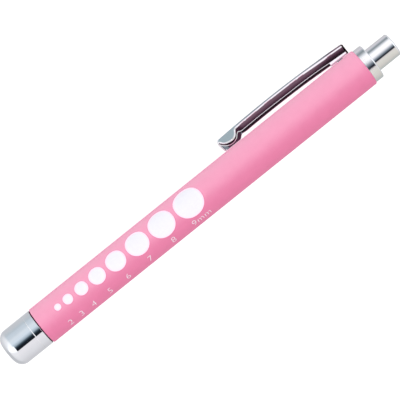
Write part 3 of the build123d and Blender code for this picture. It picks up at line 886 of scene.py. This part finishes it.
def clip_mesh():
    """The clip's skin, and the tongue under its foot: an L hook with a heel that closes the slot."""
    rings = [clip_loop(x, clip_section(float(x))) for x in STATIONS]
    last = clip_section(ROOT_END)
    middle = sum(height for height, _ in last) / len(last)
    heights = [middle + (height - middle) * ROOT_HEIGHT_SCALE for height, _ in last]
    widths = [width * ROOT_WIDTH_SCALE for _, width in last]
    rings.append(clip_loop(CLIP_ROOT, list(zip(heights, widths))))
    skin = skin_mesh("clip_skin", rings)
    sides = (-TONGUE_HALF_WIDTH, TONGUE_HALF_WIDTH)
    tongue = [[clip_point(x, height, width) for x, height in TONGUE_OUTLINE] for width in sides]
    shape = bmesh.new()
    shape.from_mesh(skin)
    shape.from_mesh(skin_mesh("clip_tongue", tongue))
    shape.to_mesh(skin)
    shape.free()
    return skin


clip = add_piece("pocket_clip_steel", clip_mesh(), "clip", clip_steel, crease=6)
clip.visible_diffuse = False  # the paint beside it stays as bright as elsewhere
clip.visible_glossy = False
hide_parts("pocket_clip")


# ---- Printing on the barrel: the pupil gauge ----

INK_LIFT = 0.008
INK_THICKNESS = 0.01
BEND_STEP = 0.2
GAUGE_LINE = radians(13) * BARREL_RADIUS  # round the barrel from its SIDE line
NUMERAL_LINE = -radians(48) * BARREL_RADIUS
DOT_CENTRES = (19.4, 23.0, 27.8, 33.4, 40.05, 47.7, 56.4, 66.0)
DOT_STEPS = 96
RIM_WIDTH = 0.4
RIM_FADE = 0.1
NUMERAL_CENTRES = (19.6, 23.5, 27.8, 33.6, 40.1, 48.0, 56.4, 66.35)
NUMERAL_HEIGHT = 2.3
NUMERAL_SHARE = 0.73  # of the font's size, taken by a numeral's height
NUMERAL_THINNING = 0.026  # of the height, on each side of a stroke
NUMERAL_SPACING = 1.08

ink = ink_material()


def on_barrel(x, round_from_side):
    """A point of the print, from its place along the pen and round the barrel from the SIDE line."""
    angle = round_from_side / BARREL_RADIUS
    return (ALONG * x + (SIDE * cos(angle) + OUT * sin(angle)) * (BARREL_RADIUS + INK_LIFT)) * MM


def wrap(name, shape):
    """Bend a flat bmesh of (along, round) points onto the barrel as a thin closed print."""
    low = min(v.co.y for v in shape.verts)
    high = max(v.co.y for v in shape.verts)
    for cut in np.arange(low, high, BEND_STEP)[1:]:
        everything = shape.verts[:] + shape.edges[:] + shape.faces[:]
        bmesh.ops.bisect_plane(shape, geom=everything, dist=1e-6, plane_co=(0, cut, 0), plane_no=(0, 1, 0))
    for vertex in shape.verts:
        vertex.co = on_barrel(vertex.co.x, vertex.co.y)
    bmesh.ops.triangulate(shape, faces=[f for f in shape.faces if len(f.verts) > 4])
    for face in shape.faces:
        face.normal_update()
        outward = Vector((0, *face.calc_center_median().yz))
        if face.normal.dot(outward) < 0:
            face.normal_flip()
    mesh = bpy.data.meshes.new(name)
    shape.to_mesh(mesh)
    shape.free()
    piece = add_piece(name, mesh, "barrel", ink, crease=60)
    thick = piece.modifiers.new("ink", "SOLIDIFY")
    thick.thickness = INK_THICKNESS * MM
    thick.offset = -1


def disc(x, place, diameter):
    """A flat round dot as a bmesh, its rim marked where the ink lies thicker."""
    shape = bmesh.new()
    rim = shape.verts.layers.float.new("rim")
    middle = shape.verts.new((x, place, 0))
    inner = [middle] * DOT_STEPS
    rim_start = diameter / 2 - RIM_WIDTH
    for radius, value in ((rim_start - RIM_FADE, 0.0), (rim_start, 1.0), (diameter / 2, 1.0)):
        ring = []
        for step in range(DOT_STEPS):
            angle = 2 * pi * step / DOT_STEPS
            vertex = shape.verts.new((x + radius * cos(angle), place + radius * sin(angle), 0))
            vertex[rim] = value
            ring.append(vertex)
        for step in range(DOT_STEPS):
            beside = (step + 1) % DOT_STEPS
            corners = [inner[step], ring[step], ring[beside], inner[beside]]
            shape.faces.new(corners if inner[0] is not middle else corners[:3])
        inner = ring
    return shape


def numeral(text, x, place):
    """Flat lettering from the built-in font as a bmesh, centred at a place, its top towards the clip."""
    curve = bpy.data.curves.new("numeral", "FONT")
    curve.body = text
    curve.size = NUMERAL_HEIGHT / NUMERAL_SHARE
    curve.offset = -NUMERAL_THINNING * NUMERAL_HEIGHT
    curve.align_x = "CENTER"
    curve.align_y = "CENTER"
    curve.space_character = NUMERAL_SPACING
    curve.resolution_u = 6
    lettering = bpy.data.objects.new("numeral", curve)
    bpy.context.scene.collection.objects.link(lettering)
    bpy.context.view_layer.update()
    mesh = bpy.data.meshes.new_from_object(lettering)
    bpy.data.objects.remove(lettering)
    shape = bmesh.new()
    shape.from_mesh(mesh)
    bmesh.ops.remove_doubles(shape, verts=shape.verts, dist=1e-4)
    middle = [(min(v.co[i] for v in shape.verts) + max(v.co[i] for v in shape.verts)) / 2 for i in (0, 1)]
    bmesh.ops.translate(shape, verts=shape.verts, vec=(x - middle[0], place - middle[1], 0))
    return shape


for diameter, dot_x, numeral_x in zip(range(2, 10), DOT_CENTRES, NUMERAL_CENTRES):
    wrap(f"gauge_dot_{diameter}mm", disc(dot_x, GAUGE_LINE, diameter))
    text = str(diameter) if diameter < 9 else "9mm"
    wrap(f"gauge_number_{diameter}", numeral(text, numeral_x, NUMERAL_LINE))


# ---- Stage: a white table in a light tent. Its sizes are in metres. ----

TABLE_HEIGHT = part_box("barrel_tube")[0].z
TABLE_GAP = 0.00001
TABLE_HALF = 3.0


def table():
    """A pale glowing table top, which leaves only a faint shadow."""
    mesh = bpy.data.meshes.new("table_top")
    signs = ((-1, -1), (1, -1), (1, 1), (-1, 1))
    corners = [(x * TABLE_HALF, y * TABLE_HALF, TABLE_HEIGHT - TABLE_GAP) for x, y in signs]
    mesh.from_pydata(corners, [], [(0, 1, 2, 3)])
    top = bpy.data.objects.new("table_top", mesh)
    bpy.context.scene.collection.objects.link(top)
    material, shader = new_material("white_table")
    constants(shader, Base_Color=(0.30, 0.30, 0.30, 1), Roughness=0.8, Specular_IOR_Level=0.0,
              Emission_Color=(1, 1, 1, 1), Emission_Strength=0.86)
    mesh.materials.append(material)
    top.visible_glossy = False
    top.visible_diffuse = False
    top.visible_shadow = False


TENT_STRENGTH = 1.6

# The tent's colours by the angle round the pen, in degrees from the SIDE line towards the clip: its wall
# towards the nose and towards the tail, the part of it that the clip reflects, and its two ends
NOSE_TENT = (
    (-180, (0.75, 0.75, 0.77)),
    (-142, (0.78, 0.77, 0.79)),
    (-122, (0.86, 0.84, 0.86)),
    (-83, (1.03, 1.01, 1.03)),
    (-45, (1.14, 1.10, 1.12)),
    (-28.6, (1.14, 1.10, 1.12)),
    (-27.4, (0.008, 0.010, 0.014)),
    (-11, (0.016, 0.025, 0.036)),
    (-3, (0.10, 0.145, 0.18)),
    (5, (0.50, 0.595, 0.68)),
    (13, (0.73, 0.84, 0.93)),
    (21, (0.93, 1.03, 1.12)),
    (42, (0.98, 1.05, 1.11)),
    (58, (0.82, 0.90, 0.97)),
    (74, (0.78, 0.865, 0.94)),
    (88, (0.69, 0.765, 0.815)),
    (110, (0.76, 0.78, 0.81)),
    (180, (0.75, 0.75, 0.77)),
)
TAIL_TENT = (
    (-180, (0.60, 0.61, 0.60)),
    (-140, (0.64, 0.66, 0.63)),
    (-118, (0.78, 0.76, 0.70)),
    (-92, (0.93, 0.87, 0.79)),
    (-60, (1.00, 0.96, 0.86)),
    (-43, (1.02, 0.94, 0.88)),
    (-37, (0.80, 0.75, 0.72)),
    (-32, (0.05, 0.05, 0.06)),
    (-23, (0.03, 0.032, 0.045)),
    (-16, (0.17, 0.21, 0.25)),
    (-7, (0.40, 0.43, 0.48)),
    (0, (0.72, 0.73, 0.78)),
    (10, (1.18, 1.16, 1.18)),
    (20, (1.50, 1.43, 1.42)),
    (48, (1.50, 1.43, 1.42)),
    (60, (1.12, 1.14, 1.16)),
    (72, (0.62, 0.64, 0.67)),
    (84, (0.33, 0.37, 0.39)),
    (95, (0.50, 0.55, 0.58)),
    (112, (0.90, 0.86, 0.90)),
    (180, (0.60, 0.61, 0.60)),
)
CLIP_TENT = (
    (-180, (0.60, 0.60, 0.60)),
    (-90, (1.10, 1.05, 1.08)),
    (-60, (1.48, 1.36, 1.43)),
    (-28, (1.48, 1.36, 1.43)),
    (-26, (0.028, 0.013, 0.019)),
    (-19, (0.028, 0.013, 0.019)),
    (-17, (0.045, 0.017, 0.028)),
    (-15, (0.080, 0.032, 0.055)),
    (-12.5, (0.15, 0.068, 0.105)),
    (-9, (0.24, 0.135, 0.18)),
    (-2, (0.24, 0.15, 0.19)),
    (2, (0.28, 0.27, 0.30)),
    (7, (0.40, 0.41, 0.44)),
    (10, (0.50, 0.61, 0.65)),
    (60, (0.50, 0.58, 0.62)),
    (90, (0.48, 0.53, 0.56)),
    (180, (0.60, 0.60, 0.60)),
)
END_TENT = (
    (-180, (0.72, 0.72, 0.74)),
    (-125, (0.74, 0.74, 0.76)),
    (-103, (1.00, 0.99, 1.01)),
    (-60, (1.14, 1.12, 1.13)),
    (-33, (1.18, 1.16, 1.17)),
    (-22, (1.50, 1.50, 1.52)),
    (30, (1.50, 1.50, 1.52)),
    (60, (1.20, 1.20, 1.22)),
    (90, (1.08, 1.08, 1.10)),
    (180, (0.72, 0.72, 0.74)),
)

# Where the tent changes, by the lengthwise part of a direction: 0 square to the pen, 1 towards its tail
NOSE_TO_TAIL = (-0.06, 0.085)
CLIP_ZONE_FRONT = (-0.08, -0.05)
CLIP_ZONE_REAR = (0.0898, 0.0885)
WALL_FADE = (0.14, 0.57)  # the walls give way to the tent's ends softly
SLOT_FADE_END = 0.17  # but sharply at the slot
SLOT_CENTRE = radians(-12)
SLOT_EDGE = (radians(29), radians(17))  # from the slot's centre


def ramp(world, factor, stops):
    """A tent colour by the angle round the pen; a factor of 0 to 1 stands for -180 to 180 degrees."""
    node = world.node_tree.nodes.new("ShaderNodeValToRGB")
    node.color_ramp.interpolation = "LINEAR"
    elements = node.color_ramp.elements
    while len(elements) > 1:
        elements.remove(elements[-1])
    for index, (degrees_round, colour) in enumerate(stops):
        place = degrees_round / 360 + 0.5
        element = elements[0] if index == 0 else elements.new(place)
        element.position = place
        element.color = (*(channel / TENT_STRENGTH for channel in colour), 1)
    plug(world, factor, node.inputs["Fac"])
    return node.outputs["Color"]


def tent():
    """The tent as the world: its brightness runs round the pen, with a dark slot on the camera's side."""
    world = bpy.data.worlds.new("light_tent")
    bpy.context.scene.world = world
    world.use_nodes = True
    nodes = world.node_tree.nodes
    direction = nodes.new("ShaderNodeTexCoord").outputs["Generated"]

    def along(vector):
        dot = nodes.new("ShaderNodeVectorMath")
        dot.operation = "DOT_PRODUCT"
        plug(world, direction, dot.inputs[0])
        dot.inputs[1].default_value = vector
        return dot.outputs["Value"]

    def step(value, low, high):
        return between(world, value, 0, 1, low, high, "SMOOTHSTEP")

    turn = maths(world, "ARCTAN2", along(OUT), along(SIDE))
    place = maths(world, "MULTIPLY_ADD", turn, 1 / (2 * pi), 0.5)
    lengthwise = along(ALONG)
    tents = (NOSE_TENT, TAIL_TENT, CLIP_TENT, END_TENT)
    nose, tail, clip_part, end = (ramp(world, place, stops) for stops in tents)
    wall = mixed(world, step(lengthwise, *NOSE_TO_TAIL), nose, tail)
    front, rear = step(lengthwise, *CLIP_ZONE_FRONT), step(lengthwise, *CLIP_ZONE_REAR)
    wall = mixed(world, maths(world, "MULTIPLY", front, rear), wall, clip_part)
    steep = maths(world, "ABSOLUTE", lengthwise)
    from_slot = maths(world, "ABSOLUTE", maths(world, "SUBTRACT", turn, SLOT_CENTRE))
    near_slot = step(from_slot, *SLOT_EDGE)
    fade_start, fade_end = WALL_FADE
    limit = maths(world, "MULTIPLY_ADD", near_slot, SLOT_FADE_END - fade_end, fade_end)
    room = maths(world, "SUBTRACT", limit, steep)
    inside = maths(world, "DIVIDE", room, maths(world, "SUBTRACT", limit, fade_start))
    wall = mixed(world, step(inside, 0, 1), end, wall)
    plug(world, wall, nodes["Background"].inputs["Color"])
    nodes["Background"].inputs["Strength"].default_value = TENT_STRENGTH


SOFT_BOX_TURN = radians(59)
SOFT_BOX_DISTANCE = 0.5
SOFT_BOX_LENGTH = 3.0
SOFT_BOX_WIDTH = 2.8
SOFT_BOX_POWER = 82.0
SOFT_BOX_COLOUR = (0.51, 1.0, 0.82)


def placed(place, right, up, back):
    """The matrix of a lamp or a camera at a place, with its own right, up and back in given directions."""
    return Matrix.Translation(place) @ Matrix((right, up, back)).transposed().to_4x4()


def soft_box():
    """A long soft box on the clip's side, which gives the paint its sheen and reaches only the tube."""
    light = bpy.data.lights.new("soft_box", "AREA")
    light.shape = "RECTANGLE"
    light.size = SOFT_BOX_LENGTH
    light.size_y = SOFT_BOX_WIDTH
    light.energy = SOFT_BOX_POWER
    light.color = SOFT_BOX_COLOUR
    lamp = bpy.data.objects.new("soft_box", light)
    bpy.context.scene.collection.objects.link(lamp)
    back = SIDE * cos(SOFT_BOX_TURN) + OUT * sin(SOFT_BOX_TURN)
    lamp.matrix_world = placed(PEN_MIDDLE + back * SOFT_BOX_DISTANCE, ALONG, back.cross(ALONG), back)
    lamp.visible_camera = False
    lamp.visible_diffuse = False
    painted = bpy.data.collections.new("painted")
    painted.objects.link(frame["nodes"]["barrel_tube"])
    lamp.light_linking.receiver_collection = painted
    lamp.light_linking.blocker_collection = painted


table()
tent()
soft_box()


# ---- Camera, with its sizes in metres ----

CAMERA_DISTANCE = 0.640
CAMERA_LENS = 204.8  # for the 36 mm sensor
IMAGE_TURN = radians(38.75)  # of the pen's axis above the picture's horizontal
AIM_RIGHT = -0.05 * MM
AIM_UP = -0.62 * MM
AIM_OUT = 0.2 * MM  # towards the clip


def place_camera():
    """Square above the clip's middle plane, turned so that the pen rises to the right."""
    right = ALONG * cos(IMAGE_TURN) - OUT * sin(IMAGE_TURN)
    up = ALONG * sin(IMAGE_TURN) + OUT * cos(IMAGE_TURN)
    camera = bpy.data.objects.new("camera", bpy.data.cameras.new("camera"))
    camera.data.lens = CAMERA_LENS
    camera.data.clip_start = 0.01
    bpy.context.scene.collection.objects.link(camera)
    target = PEN_MIDDLE + right * AIM_RIGHT + up * AIM_UP + OUT * AIM_OUT
    camera.matrix_world = placed(target + SIDE * CAMERA_DISTANCE, right, up, SIDE)
    bpy.context.scene.camera = camera


place_camera()
bpy.context.scene.view_settings.view_transform = "Standard"
